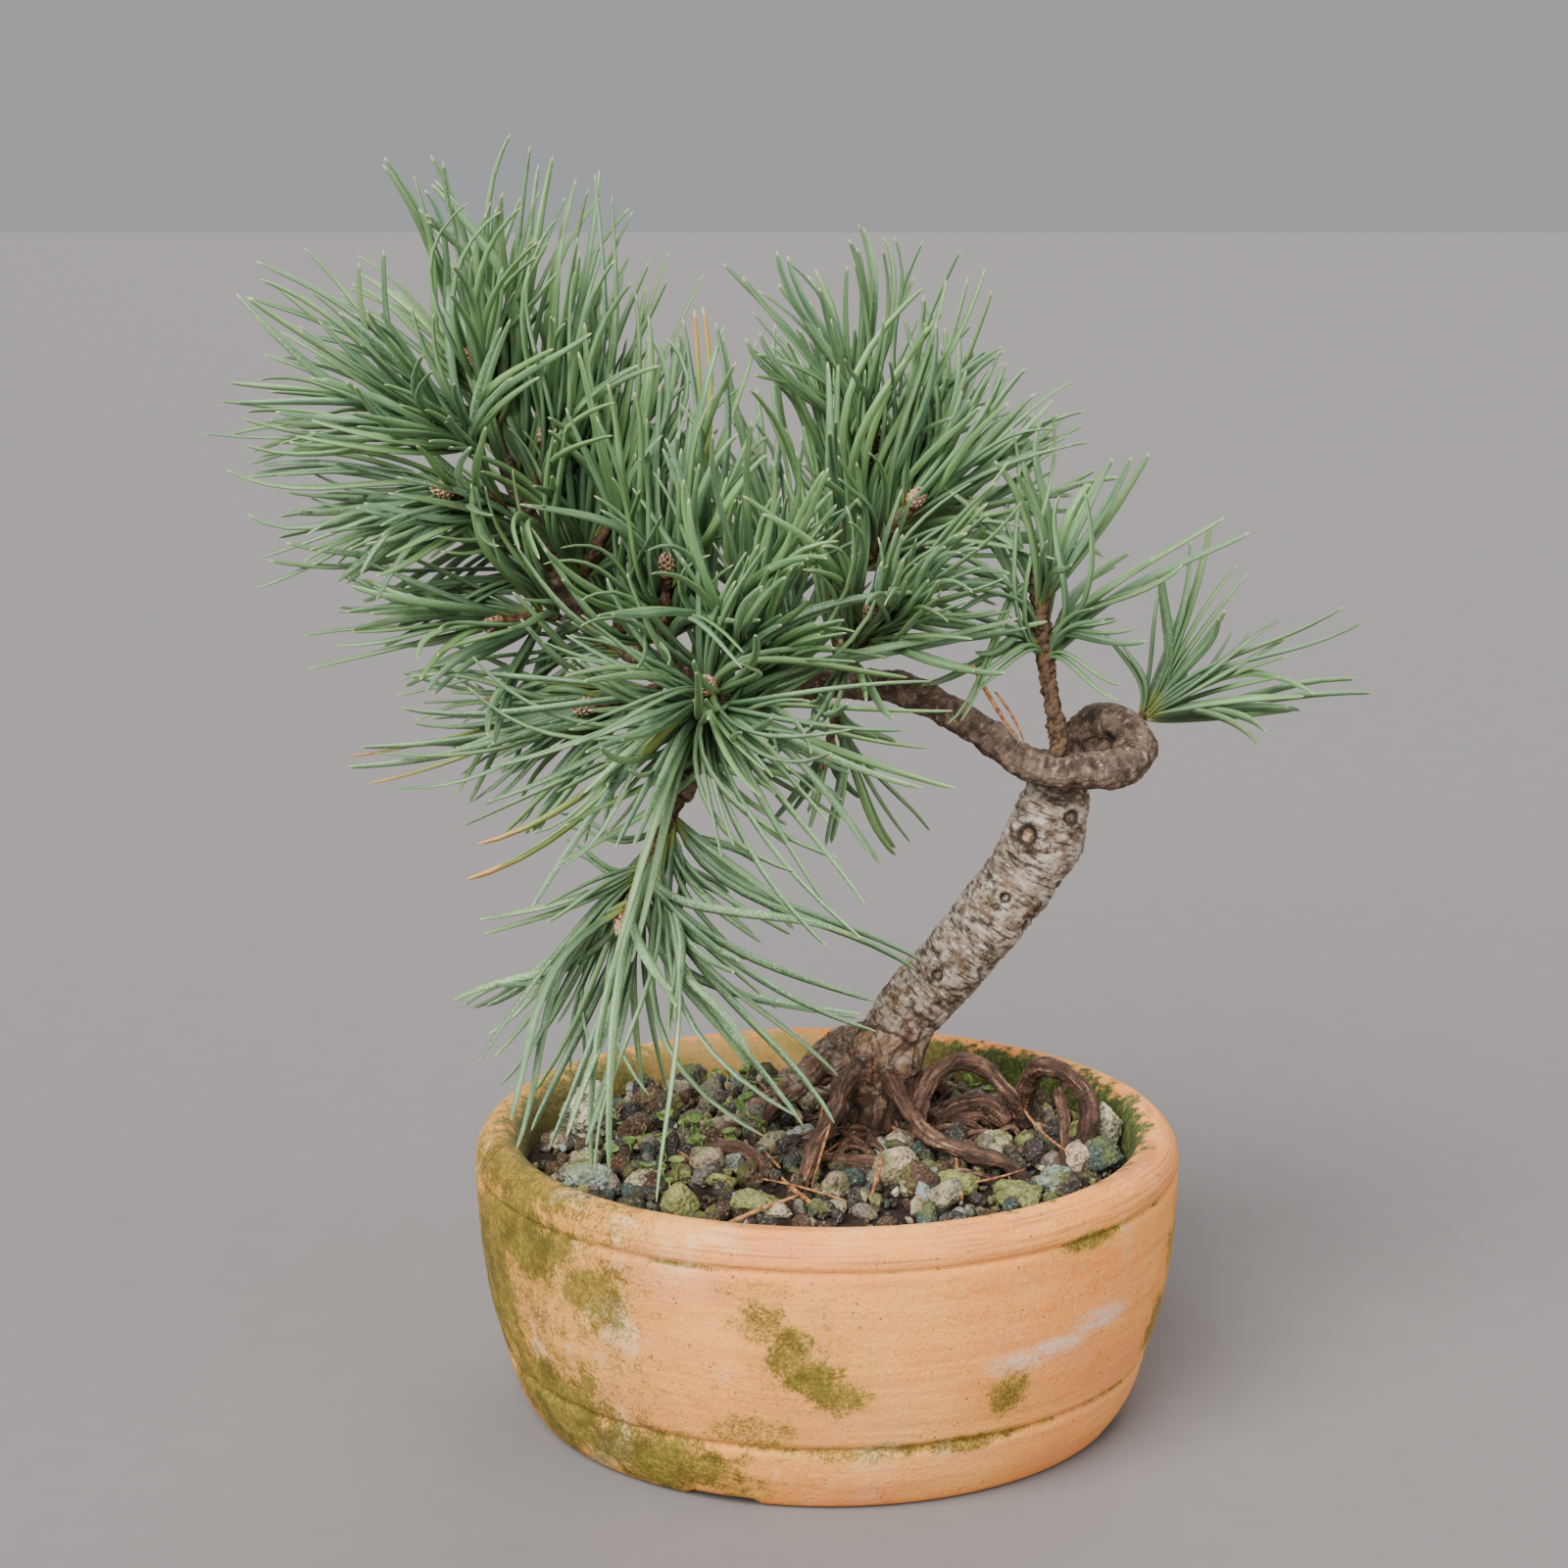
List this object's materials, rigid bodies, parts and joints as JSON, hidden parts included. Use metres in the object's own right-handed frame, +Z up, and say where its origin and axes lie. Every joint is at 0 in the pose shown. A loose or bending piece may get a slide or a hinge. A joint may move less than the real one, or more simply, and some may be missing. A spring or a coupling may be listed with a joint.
{
  "type": "bonsai tree in a pot",
  "caption": "Small pine trained as a bonsai, with a slanting trunk, a looped branch and exposed roots, planted in gritty soil in a round terracotta bowl with a drain hole.",
  "frame": {"origin": "under the middle of the whole plant's box, on the surface that the bowl's foot stands on; the bowl's own axis is 6.5 mm further along +X", "axes": "+Z up; -Y is the side shown to a viewer; the trunk leans to +X and the foliage sweeps back to -X"},
  "size_m": [0.215, 0.1332, 0.238],
  "materials": {
    "terracotta": "unglazed, weathered, with moss stains",
    "net": "matte moulded plastic",
    "soil": "damp gritty soil",
    "bark": "rough flaking bark",
    "twig_bark": "scaly dark bark",
    "needles": "satin waxy green needles",
    "stone_pale": "rough pumice",
    "stone_cream": "rough pebble",
    "stone_moss": "pebble with moss",
    "stone_dark": "dark pebble"
  },
  "bodies": {
    "root": {"apex_branch": "twig_bark", "bowl": "terracotta", "centre_branch": "twig_bark", "drain_mesh": "net", "main_branch": "bark", "root_behind": "bark", "root_far_right": "bark", "root_front_left_arch": "bark", "root_front_right_arch": "bark", "root_left": "bark", "root_low_left_arch": "bark", "root_right_loop": "bark", "shoot_apex": "needles", "shoot_apex_left": "needles", "shoot_apex_right": "needles", "shoot_back_centre": "needles", "shoot_back_left": "needles", "shoot_behind": "needles", "shoot_centre_left": "needles", "shoot_centre_tall": "needles", "shoot_front": "needles", "shoot_hanging": "needles", "shoot_left": "needles", "shoot_left_low": "needles", "shoot_long_bud": "needles", "shoot_low": "needles", "shoot_right_front": "needles", "shoot_right_tall": "needles", "shoot_right_tuft": "needles", "shoot_small_bud": "needles", "shoot_under": "needles", "shoot_upright": "needles", "soil": "soil", "stone_back": "stone_dark", "stone_back_left": "stone_dark", "stone_back_right": "stone_dark", "stone_blue": "stone_pale", "stone_cream_front": "stone_cream", "stone_cream_left": "stone_cream", "stone_cream_right": "stone_cream", "stone_dark_left": "stone_dark", "stone_grey_cream": "stone_cream", "stone_grey_round": "stone_dark", "stone_moss_front": "stone_moss", "stone_moss_right": "stone_moss", "stone_pumice": "stone_pale", "stone_slate": "stone_dark", "stone_teal": "stone_dark", "stone_yellow": "stone_moss", "trunk": "bark"}
  },
  "joints": []
}
